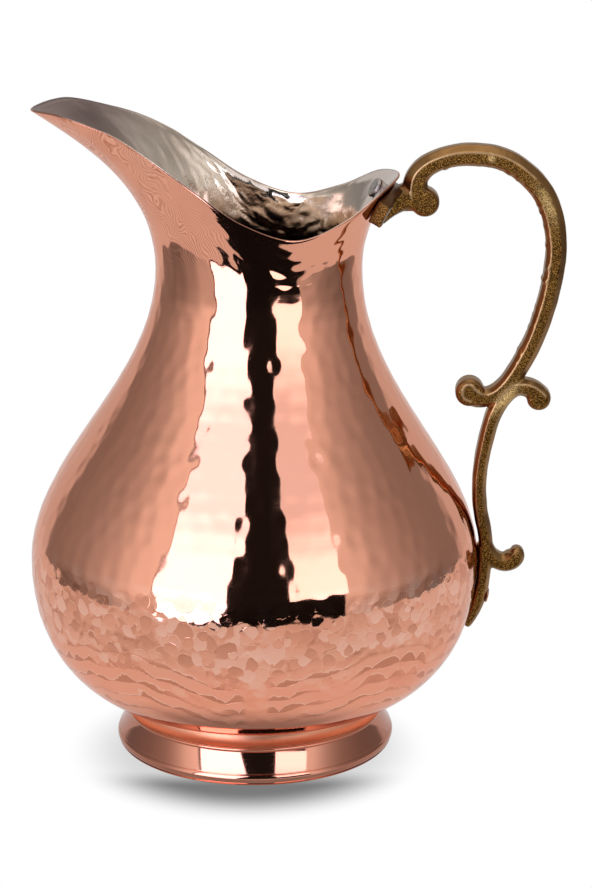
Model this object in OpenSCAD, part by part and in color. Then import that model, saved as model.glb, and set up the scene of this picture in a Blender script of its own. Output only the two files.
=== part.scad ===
// Copper water jug: hammered pear-shaped body with a long open spout, a spun foot and a cast scroll handle.
// Millimetres, +Z up, origin at the centre of the foot's base. The spout points to -X and the handle to +X.

/* [Body] */
// radius of the belly at its widest
belly_r = 82.5; // [79:0.5:86]
// height of the widest place of the belly
belly_z = 71; // [68:0.5:75]
// outer radius of the narrowest place of the neck
neck_r = 37.4; // [35:0.2:40]
// height of the narrowest place of the neck
neck_z = 181; // [177:0.5:184]
// how far the neck leans towards the handle
neck_shift = 2; // [0:0.5:4]
// thickness of the copper sheet
wall = 1.2; // [0.9:0.1:1.6]
// thickness that stands for the tinned coat inside
tin = 0.25; // [0.2:0.05:0.5]

/* [Mouth] */
// reach of the spout's tip from the axis
spout_reach = 79; // [74:0.5:84]
// height of the spout's tip
spout_z = 238.4; // [233:0.2:244]
// half of the mouth's width
mouth_w = 38.4; // [37:0.2:41]
// height of the lowest place of the rim, at the sides
saddle_z = 199.4; // [197:0.2:203]
// reach of the back lip from the axis
lip_reach = 52.5; // [50:0.5:55]
// height of the back lip
lip_z = 214.8; // [211:0.2:218]

/* [Foot] */
// outer radius of the foot's base
foot_r = 51.6; // [49:0.2:54]
// height of the foot, up to the body's flat bottom
foot_h = 18; // [16:0.5:20]
// radius of the body's flat bottom
seat_r = 40; // [38:0.5:42]
// thickness of the foot's sheet
foot_sheet = 1.4; // [1.1:0.1:1.8]

/* [Handle] */
// how far the handle's loop stands out from the back lip
loop_out = 56.4; // [52:0.5:60]
// depth of the handle's bar, in the plane of the handle
bar_d = 7.8; // [6.5:0.1:9]
// width of the handle's bar, across the handle
bar_w = 9; // [7.5:0.1:9.6]
// thickness of the pad on the back lip
pad_t = 3.4; // [2.6:0.1:4.2]

/* [Rivets] */
// radius of a rivet's shank
shank_r = 2; // [1.6:0.1:2.4]
// radius of a rivet's head
head_r = 4; // [3.4:0.1:4.4]
// height of a rivet's head
head_h = 1.7; // [1.2:0.1:2.2]

/* [Hidden] */
// clearance between surfaces that are bonded or lie on each other
bond = 0.02;
// clearance of a shank in its hole
play = 0.05;
// clearance under a rivet's inner head, which sits in a hollow curve
head_gap = 0.35;
// facets around the body, with one of them facing the handle
sides = 60;
// rings in the lower belly, in the upper belly and in the flare
low_ring_count = 12;
up_ring_count = 12;
flare_ring_count = 10;
ring_count = low_ring_count + up_ring_count + flare_ring_count;
// first and last ring that the pad covers
pad_first_index = low_ring_count + up_ring_count + 6;
pad_last_index = ring_count - 1;
// facets to each side of the handle's plane that the pad covers
pad_facet_count = 3;
// facet and ring where an upper rivet goes through
rivet_facet_index = 2;
rivet_ring_index = pad_first_index + 1;
// ring step where the tail ends, ring where it begins, and the step its rivet goes through
tail_first_index = 8;
tail_last_index = low_ring_count + 1;
tail_ring_index = tail_first_index + 2;
// how far up its step the tail ends, and how far up its step the rivet sits
tail_cut = 0.4;
rivet_up = 0.25;
tail_t = 5.2;
tail_tip_t = 3.6;
$fn = 64;

function unit(v) = v / norm(v);
function step01(t) = let(u = min(max(t, 0), 1)) u * u * (3 - 2 * u);

// cubic curve through two ends with two pulls
function bez(p, t) =
    let(u = 1 - t)
    u * u * u * p[0] + 3 * u * u * t * p[1] + 3 * u * t * t * p[2] + t * t * t * p[3];

// smooth curve through a list of points, at t between 0 and 1
function at(pts, i) = pts[min(max(i, 0), len(pts) - 1)];
function spline_seg(a, b, c, d, u) =
    b + 0.5 * u * (c - a + u * (2 * a - 5 * b + 4 * c - d + u * (3 * (b - c) + d - a)));
function spline(pts, t) =
    let(n = len(pts) - 1, x = min(max(t, 0), 0.999999) * n, i = floor(x))
    spline_seg(at(pts, i - 1), at(pts, i), at(pts, i + 1), at(pts, i + 2), x - i);

// Body surface.
// rim points from the back lip round one side to the spout's tip: x, half width, height
rise = spout_z - saddle_z;
RIM = [
    [lip_reach, 0, lip_z],
    [lip_reach * 0.88, mouth_w * 0.47, lip_z - 2.5],
    [lip_reach * 0.62, mouth_w * 0.78, saddle_z + 4.9],
    [lip_reach * 0.29, mouth_w * 0.96, saddle_z],
    [-3, mouth_w, saddle_z + rise * 0.155],
    [spout_reach * -0.243, mouth_w * 0.985, saddle_z + rise * 0.43],
    [spout_reach * -0.447, mouth_w * 0.875, saddle_z + rise * 0.70],
    [spout_reach * -0.64, mouth_w * 0.633, saddle_z + rise * 0.898],
    [spout_reach * -0.861, mouth_w * 0.432, spout_z + 0.8],
    [-spout_reach, 0, spout_z]
];
function mirror_y(p) = [p[0], -p[1], p[2]];
RIM_AROUND = concat([mirror_y(RIM[1])], RIM, [mirror_y(RIM[8])]);
function rim_half(a) =
    let(x = min(max(a / 20, 0), 8.999999), i = floor(x))
    spline_seg(RIM_AROUND[i], RIM_AROUND[i + 1], RIM_AROUND[i + 2], RIM_AROUND[i + 3], x - i);
function rim(a) = a > 180 ? mirror_y(rim_half(360 - a)) : a < 0 ? mirror_y(rim_half(-a)) : rim_half(a);

low_wide = belly_r - seat_r;
low_high = belly_z - foot_h;
up_high = neck_z - belly_z;
LOW = [
    [seat_r, foot_h],
    [seat_r + low_wide * 0.4376, foot_h],
    [belly_r, foot_h + low_high * 0.2887],
    [belly_r, belly_z]
];
UP = [
    [belly_r, belly_z],
    [belly_r, belly_z + up_high * 0.321],
    [neck_r, neck_z - up_high * 0.4027],
    [neck_r, neck_z]
];
// the axis leans over from here to just above the neck
lean_from = belly_z + up_high * 0.31;
lean_to = neck_z + up_high * 0.036;
function lean(z) = neck_shift * step01((z - lean_from) / (lean_to - lean_from));
function ring_point(p, a) = [lean(p[1]) + p[0] * cos(a), p[0] * sin(a), p[1]];

// from the neck the wall rises and flares out to the rim
function flare(a, t) =
    let(
        from = ring_point([neck_r, neck_z], a),
        to = rim(a),
        way = to - from,
        reach = norm(way),
        pull = reach * (0.415 - 0.055 * cos(a))
    )
    bez([from, from + [0, 0, pull], to - unit([2 * way[0], 2 * way[1], way[2]]) * reach * 0.31, to], t);
function outer(a, s) =
    s <= 1 ? ring_point(bez(LOW, s), a) : s <= 2 ? ring_point(bez(UP, s - 1), a) : flare(a, s - 2);
function outward(a, s) =
    let(
        e = 0.004,
        s0 = max(s - e, 0),
        s1 = min(s + e, 3),
        round_way = outer(a + 0.5, s) - outer(a - 0.5, s),
        up_way = outer(a, s1) - outer(a, s0)
    )
    unit(cross(round_way, up_way));

function ring_s(j) =
    j <= low_ring_count ? j / low_ring_count
    : j <= low_ring_count + up_ring_count ? 1 + (j - low_ring_count) / up_ring_count
    : 2 + (j - low_ring_count - up_ring_count) / flare_ring_count;
function side_a(i) = (i + 0.5) * 360 / sides;
GRID = [for (j = [0:ring_count]) [for (i = [0:sides - 1]) outer(side_a(i), ring_s(j))]];
NORMAL = [for (j = [0:ring_count]) [for (i = [0:sides - 1]) outward(side_a(i), ring_s(j))]];
function skin(j, i, off) =
    let(k = (i + sides) % sides)
    GRID[j][k] + NORMAL[j][k] * off;
function edge_mid(j, i) = (skin(j, i, 0) + skin(j, i - 1, 0)) / 2;
function facet_at(j, i, v) = edge_mid(j, i) * (1 - v) + edge_mid(j + 1, i) * v;
function facet_out(j, i) =
    unit(cross(skin(j, i, 0) - skin(j + 1, i - 1, 0), skin(j + 1, i, 0) - skin(j, i - 1, 0)));

// closed shell between two offsets of the body surface
module shell(off_out, off_in) {
    n = sides;
    m = ring_count;
    base = n * (m + 1);
    pts = concat(
        [for (j = [0:m]) for (i = [0:n - 1]) skin(j, i, off_out)],
        [for (j = [0:m]) for (i = [0:n - 1]) skin(j, i, off_in)]
    );
    outside = [for (j = [0:m - 1]) for (i = [0:n - 1]) for (h = [0, 1])
        let(k = (i + 1) % n, a = j * n + i, b = j * n + k, c = a + n, d = b + n)
        h == 0 ? [a, d, b] : [a, c, d]];
    inside = [for (f = outside) [f[0] + base, f[2] + base, f[1] + base]];
    edge = [for (i = [0:n - 1]) for (h = [0, 1])
        let(k = (i + 1) % n, a = m * n + i, b = m * n + k)
        h == 0 ? [a, a + base, b] : [b, a + base, b + base]];
    bottom = [[for (i = [0:n - 1]) i]];
    top_of_bottom = [[for (i = [0:n - 1]) base + n - 1 - i]];
    polyhedron(points = pts, faces = concat(outside, inside, edge, bottom, top_of_bottom), convexity = 8);
}

// stand a shape on a facet of the body, part of the way up it, with its +Z along the outward normal
module on_facet(j, i, up) {
    v = facet_out(j, i);
    translate(facet_at(j, i, up)) rotate([0, acos(v[2]), atan2(v[1], v[0])]) children();
}
module at_lip_rivets() {
    on_facet(rivet_ring_index, rivet_facet_index, 0.5) children();
    on_facet(rivet_ring_index, sides - rivet_facet_index, 0.5) children();
}
module at_tail_rivet() {
    on_facet(tail_ring_index, 0, rivet_up) children();
}

// depth below the body surface where a rivet's inner head starts
head_seat = wall + bond + tin + head_gap;
module rivet(grip) {
    pts = concat(
        [[0, -head_seat - head_h]],
        [for (t = [15:15:90]) [head_r * sin(t), -head_seat - head_h * cos(t)]],
        [[shank_r, -head_seat], [shank_r, grip]],
        [[shank_r + 0.9, grip], [shank_r + 0.5, grip + 0.6], [0, grip + 0.8]]
    );
    rotate_extrude() polygon(pts);
}
module rivet_hole() {
    translate([0, 0, -10]) cylinder(r = shank_r + play, h = 30);
}

module body_shell() {
    color([0.78, 0.46, 0.36])
    difference() {
        shell(0, -wall);
        at_lip_rivets() rivet_hole();
        at_tail_rivet() rivet_hole();
    }
}

module tin_lining() {
    color([0.72, 0.72, 0.7])
    difference() {
        shell(-wall - bond, -wall - bond - tin);
        at_lip_rivets() rivet_hole();
        at_tail_rivet() rivet_hole();
    }
}

// Foot.
// outline of the spun foot from the seat under the body down to the base, outer side
cove_r = foot_r - 3.4;
cove_z = foot_h - 5.8;
cove_deep = cove_r - seat_r - 0.4;
cove_top = foot_h - 0.8;
FOOT_OUT = concat(
    [[seat_r - 0.6, foot_h]],
    [for (t = [0:15:75]) [cove_r - cove_deep * cos(t), cove_top - (cove_top - cove_z) * sin(t)]],
    [for (t = [90:-30:0]) [cove_r + 0.5 * cos(t), cove_z - 0.6 + 0.6 * sin(t)]],
    [for (t = [0:0.2:1]) [cove_r + 0.4 + 2.3 * t * t, cove_z - 2.4 - 4.9 * t]],
    [[foot_r - 0.9, 4.6]],
    [for (t = [-60:30:60]) [foot_r - 1.2 + 1.1 * cos(t), 3.2 - 1.4 * sin(t)]],
    [[foot_r, 1.5], [foot_r, 0.3], [foot_r - 0.3, 0]]
);
FOOT_IN = [
    [foot_r - 4.6, 0],
    [foot_r - 4.6, foot_sheet],
    [foot_r - 1.1 - foot_sheet, foot_sheet],
    [foot_r - 1.1 - foot_sheet, 4.2],
    [cove_r + 0.2 - foot_sheet, 7.4],
    [cove_r + 0.2 - foot_sheet, cove_z - foot_sheet],
    [seat_r + 2.6, foot_h - 5.4 - foot_sheet],
    [seat_r - 0.4 - foot_sheet, foot_h - 2.4 - foot_sheet],
    [seat_r - 0.8 - foot_sheet, foot_h - foot_sheet],
    [seat_r - 6, foot_h - foot_sheet],
    [seat_r - 6, foot_h]
];
module foot_ring() {
    color([0.8, 0.47, 0.36])
    rotate_extrude($fn = 128) polygon(concat(FOOT_OUT, FOOT_IN));
}

// fillet of solder in the corner between the foot and the body
module foot_solder() {
    color([0.66, 0.64, 0.6])
    rotate_extrude($fn = 128)
    polygon([
        [seat_r - 0.5, foot_h - bond],
        [seat_r + 0.45, foot_h - 0.78],
        [seat_r + 0.62, foot_h - 1.5],
        [seat_r + 1.4, foot_h - 0.5],
        [seat_r + 2.6, foot_h - bond]
    ]);
}

// Handle.
// The bar is eight-sided: flat sides, a wide bevel on the spine and a narrow one on the inner side.
function bar_section(d, w) = [
    [d * 0.5, w * 0.22],
    [d * 0.2, w * 0.5],
    [d * -0.3, w * 0.5],
    [d * -0.5, w * 0.26],
    [d * -0.5, w * -0.26],
    [d * -0.3, w * -0.5],
    [d * 0.2, w * -0.5],
    [d * 0.5, w * -0.22]
];
// a strand of the casting: points hold x, z, depth and width, and the spine is on the left of the way
module strand(pts, steps) {
    ring = [for (k = [0:steps])
        let(
            t = k / steps,
            p = spline(pts, t),
            q = spline(pts, min(t + 0.01, 1)) - spline(pts, max(t - 0.01, 0)),
            way = unit([q[0], q[1]]),
            side = [-way[1], way[0]]
        )
        [for (c = bar_section(p[2], p[3])) [p[0] + side[0] * c[0], c[1], p[1] + side[1] * c[0]]]];
    n = 8;
    pts3 = [for (r = ring) for (p = r) p];
    walls = [for (k = [0:steps - 1]) for (i = [0:n - 1]) for (h = [0, 1])
        let(a = k * n + i, b = k * n + (i + 1) % n, c = a + n, d = b + n)
        h == 0 ? [a, b, d] : [a, d, c]];
    first = [[for (i = [0:n - 1]) n - 1 - i]];
    last = [[for (i = [0:n - 1]) steps * n + i]];
    polyhedron(points = pts3, faces = concat(walls, first, last), convexity = 6);
}

far_x = lip_reach + loop_out;
// where the loop comes down to the middle scroll, above the belly's widest place
scroll_x = belly_r + 13.2;
scroll_z = belly_z + 70.8;
// from the curl at the root over the loop and down to the inner knob of the middle scroll
TOP = [
    [lip_reach + 12.2, lip_z - 9.2, 4.5, bar_w * 0.75],
    [lip_reach + 10.4, lip_z - 11, bar_d, bar_w],
    [lip_reach + 6.8, lip_z - 7.6, bar_d * 1.05, bar_w],
    [lip_reach + 7, lip_z - 0.2, bar_d, bar_w],
    [lip_reach + 12.4, lip_z + 5, bar_d * 0.95, bar_w],
    [lip_reach + 24.5, lip_z + 7.6, bar_d, bar_w],
    [far_x - 17.2, lip_z + 4.8, bar_d, bar_w],
    [far_x - 4.8, lip_z - 6.8, bar_d * 1.02, bar_w],
    [far_x, lip_z - 23, bar_d * 0.97, bar_w],
    [far_x - 1.2, lip_z - 40, bar_d * 0.93, bar_w],
    [far_x - 6, lip_z - 58, bar_d * 0.9, bar_w],
    [scroll_x, scroll_z, bar_d * 0.88, bar_w],
    [scroll_x - 6.2, scroll_z - 7.6, bar_d * 0.85, bar_w],
    [scroll_x - 12.6, scroll_z - 10, bar_d * 0.8, bar_w],
    [scroll_x - 17.4, scroll_z - 8, bar_d * 1.35, bar_w],
    [scroll_x - 19.8, scroll_z - 7, bar_d * 1.1, bar_w * 0.9],
    [scroll_x - 21.8, scroll_z - 6.6, bar_d * 0.45, bar_w * 0.6]
];
// from the outer knob of the middle scroll down to the tail
LOWER = [
    [belly_r + 23, belly_z + 58, 3.6, bar_w * 0.6],
    [belly_r + 22.2, belly_z + 60.4, bar_d, bar_w * 0.95],
    [belly_r + 18.8, belly_z + 64, bar_d * 0.9, bar_w],
    [belly_r + 13.4, belly_z + 64.8, bar_d * 0.8, bar_w],
    [belly_r + 8.6, belly_z + 60.8, bar_d * 0.78, bar_w],
    [belly_r + 5, belly_z + 54, bar_d * 0.74, bar_w],
    [belly_r + 2.6, belly_z + 45, bar_d * 0.7, bar_w],
    [belly_r + 0.8, belly_z + 35, bar_d * 0.67, bar_w],
    [belly_r + 0.3, belly_z + 26, bar_d * 0.65, bar_w],
    [belly_r + 1, belly_z + 17, bar_d * 0.68, bar_w],
    [belly_r + 2.6, belly_z + 9, bar_d * 0.68, bar_w],
    [belly_r + 3.4, belly_z + 1, bar_d * 0.62, bar_w * 0.94],
    [belly_r + 3.2, belly_z - 5, bar_d * 0.5, bar_w * 0.8]
];
// outward curl above the tail
CURL = [
    [belly_r + 3.4, belly_z + 6, bar_d * 0.4, bar_w * 0.7],
    [belly_r + 5, belly_z, bar_d * 0.75, bar_w * 0.95],
    [belly_r + 9.4, belly_z - 2.8, bar_d * 0.82, bar_w * 0.95],
    [belly_r + 13.2, belly_z - 1.4, bar_d * 0.92, bar_w * 0.95],
    [belly_r + 14.2, belly_z + 1.2, bar_d * 0.8, bar_w * 0.85],
    [belly_r + 13.6, belly_z + 3, bar_d * 0.3, bar_w * 0.5]
];
// short thick root from the pad to the loop
ROOT = [
    [lip_reach - 3, lip_z - 10, bar_d * 0.7, bar_w * 1.2],
    [lip_reach + 1.6, lip_z - 8.2, bar_d * 1.1, bar_w * 1.1],
    [lip_reach + 8, lip_z - 6.8, bar_d * 1.1, bar_w * 0.9]
];

// pad that lies against the outside of the back lip
module pad() {
    cols = 2 * pad_facet_count + 1;
    rows = pad_last_index - pad_first_index;
    per = cols + 1;
    count = per * (rows + 1);
    function thick(j, i) = (j == 0 || j == rows || i == 0 || i == cols) ? pad_t * 0.6 : pad_t;
    function on_lip(j, i, off) = skin(pad_first_index + j, i - pad_facet_count - 1, off);
    low = [for (j = [0:rows]) for (i = [0:cols]) on_lip(j, i, play)];
    high = [for (j = [0:rows]) for (i = [0:cols]) on_lip(j, i, play + thick(j, i))];
    top = [for (j = [0:rows - 1]) for (i = [0:cols - 1]) for (h = [0, 1])
        let(a = count + j * per + i, b = a + 1, c = a + per, d = b + per)
        h == 0 ? [a, d, b] : [a, c, d]];
    under = [for (f = top) [f[0] - count, f[2] - count, f[1] - count]];
    loop = concat(
        [for (i = [0:cols - 1]) i],
        [for (j = [0:rows - 1]) j * per + cols],
        [for (i = [cols:-1:1]) rows * per + i],
        [for (j = [rows:-1:1]) j * per]
    );
    edge = [for (k = [0:len(loop) - 1]) for (h = [0, 1])
        let(a = loop[k], b = loop[(k + 1) % len(loop)])
        h == 0 ? [a, a + count, b] : [b, a + count, b + count]];
    polyhedron(points = concat(low, high), faces = concat(top, under, edge), convexity = 4);
}

// tail that lies on the belly below the curl, one flat step per ring of the body
module tail() {
    rows = tail_last_index - tail_first_index;
    ring = [for (j = [0:rows])
        let(
            p = j == 0 ? facet_at(tail_first_index, 0, tail_cut) : edge_mid(tail_first_index + j, 0),
            u = j / rows,
            x = p[0] + play,
            t = tail_tip_t + (tail_t - tail_tip_t) * min(u * 2, 1),
            w = bar_w * (0.6 + 0.35 * min(u * 1.5, 1))
        )
        [
            [x, w * -0.46, p[2]],
            [x, w * 0.46, p[2]],
            [x + t * 0.25, w * 0.5, p[2]],
            [x + t * 0.7, w * 0.5, p[2]],
            [x + t, w * 0.24, p[2]],
            [x + t, w * -0.24, p[2]],
            [x + t * 0.7, w * -0.5, p[2]],
            [x + t * 0.25, w * -0.5, p[2]]
        ]];
    n = 8;
    pts3 = [for (r = ring) for (p = r) p];
    walls = [for (k = [0:rows - 1]) for (i = [0:n - 1]) for (h = [0, 1])
        let(a = k * n + i, b = k * n + (i + 1) % n, c = a + n, d = b + n)
        h == 0 ? [a, b, d] : [a, d, c]];
    first = [[for (i = [0:n - 1]) n - 1 - i]];
    last = [[for (i = [0:n - 1]) rows * n + i]];
    polyhedron(points = pts3, faces = concat(walls, first, last), convexity = 4);
}

module handle() {
    color([0.62, 0.46, 0.24])
    difference() {
        union() {
            pad();
            strand(ROOT, 4);
            strand(TOP, 48);
            strand(LOWER, 36);
            strand(CURL, 12);
            tail();
        }
        at_lip_rivets() rivet_hole();
        at_tail_rivet() rivet_hole();
    }
}

// Rivets.
module lip_rivets() {
    color([0.7, 0.6, 0.55])
    at_lip_rivets() rivet(pad_t + 2 * play);
}

module tail_rivet() {
    color([0.7, 0.5, 0.4])
    at_tail_rivet() rivet(tail_t + 2 * play);
}

body_shell();
tin_lining();
foot_ring();
foot_solder();
handle();
lip_rivets();
tail_rivet();
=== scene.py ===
# %% [markdown]
# # A hammered copper jug with a cast brass handle
# The real jug is one sheet of copper, raised with a hammer into a pear-shaped belly, a narrow
# neck and a long open spout. It is tinned inside, stands on a spun foot, and has a cast handle
# that is riveted on in three places. The measured solids come in first, as a fixed frame. Every
# piece below is a finer version of one of them and stands exactly where that solid is.

# %% Load the frame
import math

import bmesh
import bpy
import numpy as np
from mathutils import Matrix, Vector, kdtree, noise


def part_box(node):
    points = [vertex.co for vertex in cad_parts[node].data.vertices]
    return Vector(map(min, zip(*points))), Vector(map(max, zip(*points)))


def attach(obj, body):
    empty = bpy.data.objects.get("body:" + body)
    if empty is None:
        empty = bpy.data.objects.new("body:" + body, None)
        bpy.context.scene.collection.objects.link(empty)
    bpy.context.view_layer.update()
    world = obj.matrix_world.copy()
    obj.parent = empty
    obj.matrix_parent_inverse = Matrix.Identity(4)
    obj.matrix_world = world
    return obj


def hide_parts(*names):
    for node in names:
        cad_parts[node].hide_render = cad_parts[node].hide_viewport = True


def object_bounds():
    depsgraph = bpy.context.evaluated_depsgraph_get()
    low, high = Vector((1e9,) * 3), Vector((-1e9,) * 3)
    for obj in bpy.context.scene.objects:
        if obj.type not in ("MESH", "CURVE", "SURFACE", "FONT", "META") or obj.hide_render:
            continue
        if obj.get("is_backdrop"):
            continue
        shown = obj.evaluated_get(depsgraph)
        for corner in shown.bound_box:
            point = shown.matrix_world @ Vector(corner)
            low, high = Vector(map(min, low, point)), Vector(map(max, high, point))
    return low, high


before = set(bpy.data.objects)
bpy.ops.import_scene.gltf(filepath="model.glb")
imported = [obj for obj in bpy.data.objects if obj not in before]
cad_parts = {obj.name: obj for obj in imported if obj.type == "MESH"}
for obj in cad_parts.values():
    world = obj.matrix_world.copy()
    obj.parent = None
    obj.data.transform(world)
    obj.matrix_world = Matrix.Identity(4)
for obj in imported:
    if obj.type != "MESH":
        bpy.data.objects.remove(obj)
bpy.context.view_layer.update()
MM = 0.001
print("solids:", sorted(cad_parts))

# %% [markdown]
# ## Camera
# The camera comes first, so that every later step can be judged in the same picture. It stands
# 1.16 m in front of the jug and 0.48 m above the table and looks down 17.5 degrees. A focal
# length in pixels is turned into a lens by way of the sensor: its 36 mm are the picture's longer
# side, 888 pixels high.

# %% Camera
lens_in_pixels = 3315
picture_height = 888
sensor = 36
look_down = 17.52
camera_place = (0.01535, -1.160, 0.480)
camera_data = bpy.data.cameras.new("front_camera")
camera_data.sensor_fit = "AUTO"
camera_data.sensor_width = sensor
camera_data.lens = sensor * lens_in_pixels / picture_height
camera = bpy.data.objects.new("front_camera", camera_data)
bpy.context.scene.collection.objects.link(camera)
camera.location = camera_place
camera.rotation_euler = (math.radians(90 - look_down), 0, 0)
bpy.context.scene.camera = camera
bpy.context.scene.view_settings.view_transform = "Standard"
print("lens", round(camera_data.lens, 2), "mm")

# %% [markdown]
# ## Small helpers for node trees
# Shader trees are easier to read when a node, its settings and its wires take one line each. `put`
# makes a node, and `feed` wires a socket or sets its number. A `Wire` is a value on its way from
# one node to the next. The signs + - * / between wires and numbers make Math nodes, so a mask can
# be written down as a formula. `ease` makes a soft step between two values, the two `blend` helpers
# mix numbers or colours, `cloud` is a noise, and `place` is a point's own position.

# %% Node helpers
def put(tree, kind, **settings):
    made = tree.nodes.new(kind)
    for name, value in settings.items():
        setattr(made, name, value)
    return made


def feed(socket, value):
    if isinstance(value, Wire):
        value.tree.links.new(value.socket, socket)
    else:
        socket.default_value = value


class Wire:
    def __init__(self, socket):
        self.socket, self.tree = socket, socket.id_data

    def node(self, kind, *others, out=0, **settings):
        made = put(self.tree, kind, **settings)
        for socket, value in zip(made.inputs, (self, *others)):
            feed(socket, value)
        return Wire(made.outputs[out])

    def math(self, operation, *others, clamp=False):
        return self.node("ShaderNodeMath", *others, operation=operation, use_clamp=clamp)

    def vector(self, operation, *others, out=0):
        return self.node("ShaderNodeVectorMath", *others, operation=operation, out=out)

    def split(self, kind="ShaderNodeSeparateXYZ"):
        return [Wire(socket) for socket in self.node(kind).socket.node.outputs]

    def __add__(self, other):
        return self.math("ADD", other)

    def __sub__(self, other):
        return self.math("SUBTRACT", other)

    def __rsub__(self, other):
        return self * -1.0 + other

    def __mul__(self, other):
        return self.math("MULTIPLY", other)

    def __truediv__(self, other):
        return self.math("DIVIDE", other)


def feed_all(node, values):
    for label, value in values.items():
        feed(node.inputs[label], value)


def ease(value, low, high, kind="SMOOTHSTEP"):
    made = put(value.tree, "ShaderNodeMapRange", interpolation_type=kind)
    feed_all(made, {"Value": value, "From Min": low, "From Max": high})
    return Wire(made.outputs["Result"])


def blend(factor, first, second):
    made = put(factor.tree, "ShaderNodeMix", data_type="FLOAT")
    feed_all(made, {0: factor, 2: first, 3: second})
    return Wire(made.outputs[0])


def blend_colour(factor, first, second):
    made = put(factor.tree, "ShaderNodeMix", data_type="RGBA")
    feed_all(made, {0: factor, 6: first, 7: second})
    return Wire(made.outputs[2])


def cloud(vector, scale, detail=2.0, roughness=0.5, out=0):
    made = put(vector.tree, "ShaderNodeTexNoise")
    feed_all(made, {"Vector": vector, "Scale": scale, "Detail": detail, "Roughness": roughness})
    return Wire(made.outputs[out])


def place(tree, kind="Object"):
    return Wire(put(tree, "ShaderNodeTexCoord").outputs[kind])


print("node helpers ready")

# %% [markdown]
# ## Studio light
# Polished metal has hardly any colour of its own: it shows the room. The far walls of the room
# are painted on the world, by direction: dark on the camera's side, grey at the sides, pale
# behind, and a soft light overhead. Rays straight from the camera see plain white.

# %% World
world = bpy.data.worlds.new("studio")
bpy.context.scene.world = world
world.use_nodes = True
room = world.node_tree
room.nodes.clear()
x, y, z = place(room, "Generated").split()
turn = x.math("ARCTAN2", y * -1.0).math("DEGREES")
tilt = z.math("ARCSINE").math("DEGREES")
print("directions: turn and tilt, in degrees")

# %% [markdown]
# The walls are one colour ramp round the horizon. Its stops are degrees from the camera, left
# negative, with the brightness there. A ramp holds values up to 1, so brightness is stored as a
# quarter and multiplied again.

# %% Walls of the room
WALLS = [
    (-180, 0.67), (-137, 0.66), (-131, 0.30), (-126, 0.265), (-114, 0.315), (-104, 0.345), (-96, 0.41),
    (-88, 0.49), (-80, 0.59), (-72, 0.75), (-64, 0.95), (-52, 1.04), (-50, 0.012), (45, 0.012),
    (47, 0.90), (54, 0.87), (60, 0.74), (66, 0.62), (72, 0.54), (80, 0.46), (90, 0.38), (100, 0.305),
    (110, 0.28), (120, 0.27), (128, 0.28), (133, 0.66), (180, 0.67),
]
ramp = put(room, "ShaderNodeValToRGB")
stops = ramp.color_ramp.elements
while len(stops) < len(WALLS):
    stops.new(0.5)
for stop, (degrees, light) in zip(stops, WALLS):
    stop.position = degrees / 360 + 0.5
    stop.color = (light / 4, light / 4, light / 4, 1)
feed(ramp.inputs[0], turn * (1 / 360) + 0.5)
walls = Wire(ramp.outputs[0]) * 4.0
print("walls with", len(WALLS), "stops")

# %% [markdown]
# The walls in front and at the sides fade a little towards the floor, which the neck shows. A soft
# light hangs overhead.

# %% Floor end and overhead light
floor_fade = 0.38
overhead_light = 1.1
beside = ease(turn.math("ABSOLUTE"), 126.0, 104.0)
faded = 1.0 - ease(tilt, 4.0, -14.0) * beside * floor_fade
light = walls * faded + ease(tilt, 60.0, 70.0) * overhead_light
seen = Wire(put(room, "ShaderNodeLightPath").outputs["Is Camera Ray"])
glow = put(room, "ShaderNodeBackground")
glow.inputs["Color"].default_value = (1, 1, 1, 1)
feed(glow.inputs["Strength"], blend(seen, light, 1.0))
room.links.new(glow.outputs[0], put(room, "ShaderNodeOutputWorld").inputs[0])
print("overhead light of", overhead_light)

# %% [markdown]
# Two softboxes stand in front, left and right of the camera, with a dark gap between them. They
# make the two white stripes on the body and the black stripe in the middle. They are near, so the
# neck and the belly see their lower edges at different heights, and so they are real panels: a grid
# bent round the jug that shines, brighter below than above. A panel is hidden from the camera
# itself, which would otherwise look at its back from other sides.

# %% Softboxes
def glowing(name):
    material = bpy.data.materials.new(name)
    material.use_nodes = True
    tree = material.node_tree
    tree.nodes.clear()
    shine = put(tree, "ShaderNodeEmission")
    tree.links.new(shine.outputs[0], put(tree, "ShaderNodeOutputMaterial").inputs[0])
    return material, tree, shine


def mesh_object(shape, name, material=None):
    data = bpy.data.meshes.new(name)
    shape.to_mesh(data)
    shape.free()
    if material:
        data.materials.append(material)
    made = bpy.data.objects.new(name, data)
    bpy.context.scene.collection.objects.link(made)
    return made


def softbox(name, left, right, lean, distance, bottom, top, below, above, fade, colour):
    panel = bmesh.new()
    bmesh.ops.create_grid(panel, x_segments=12, y_segments=10, size=1)
    for v in panel.verts:
        height = bottom + (top - bottom) * (v.co.y + 1) / 2
        edge = right + lean * min(max(height, 0) / 0.6, 1)
        turn = math.radians(left + (edge - left) * (v.co.x + 1) / 2)
        v.co = (distance * math.sin(turn), -distance * math.cos(turn), height)
    cloth, tree, shine = glowing(name)
    z = place(tree).split()[2]
    feed_all(shine, {"Color": colour, "Strength": blend(ease(z, *fade), below, above)})
    box = mesh_object(panel, name, cloth)
    box.visible_camera = False
    box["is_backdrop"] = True
    print(name, "from", left, "to", right, "degrees")


softbox(
    "softbox_left", left=-47, right=-15, lean=9, distance=0.60, bottom=-0.03, top=1.15,
    below=3.6, above=2.5, fade=(0.36, 0.66), colour=(0.78, 0.80, 1.0, 1),
)
softbox(
    "softbox_right", left=17.5, right=44, lean=0, distance=0.352, bottom=0.117, top=0.75,
    below=2.5, above=1.2, fade=(0.19, 0.40), colour=(0.84, 0.89, 1.0, 1),
)

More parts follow.
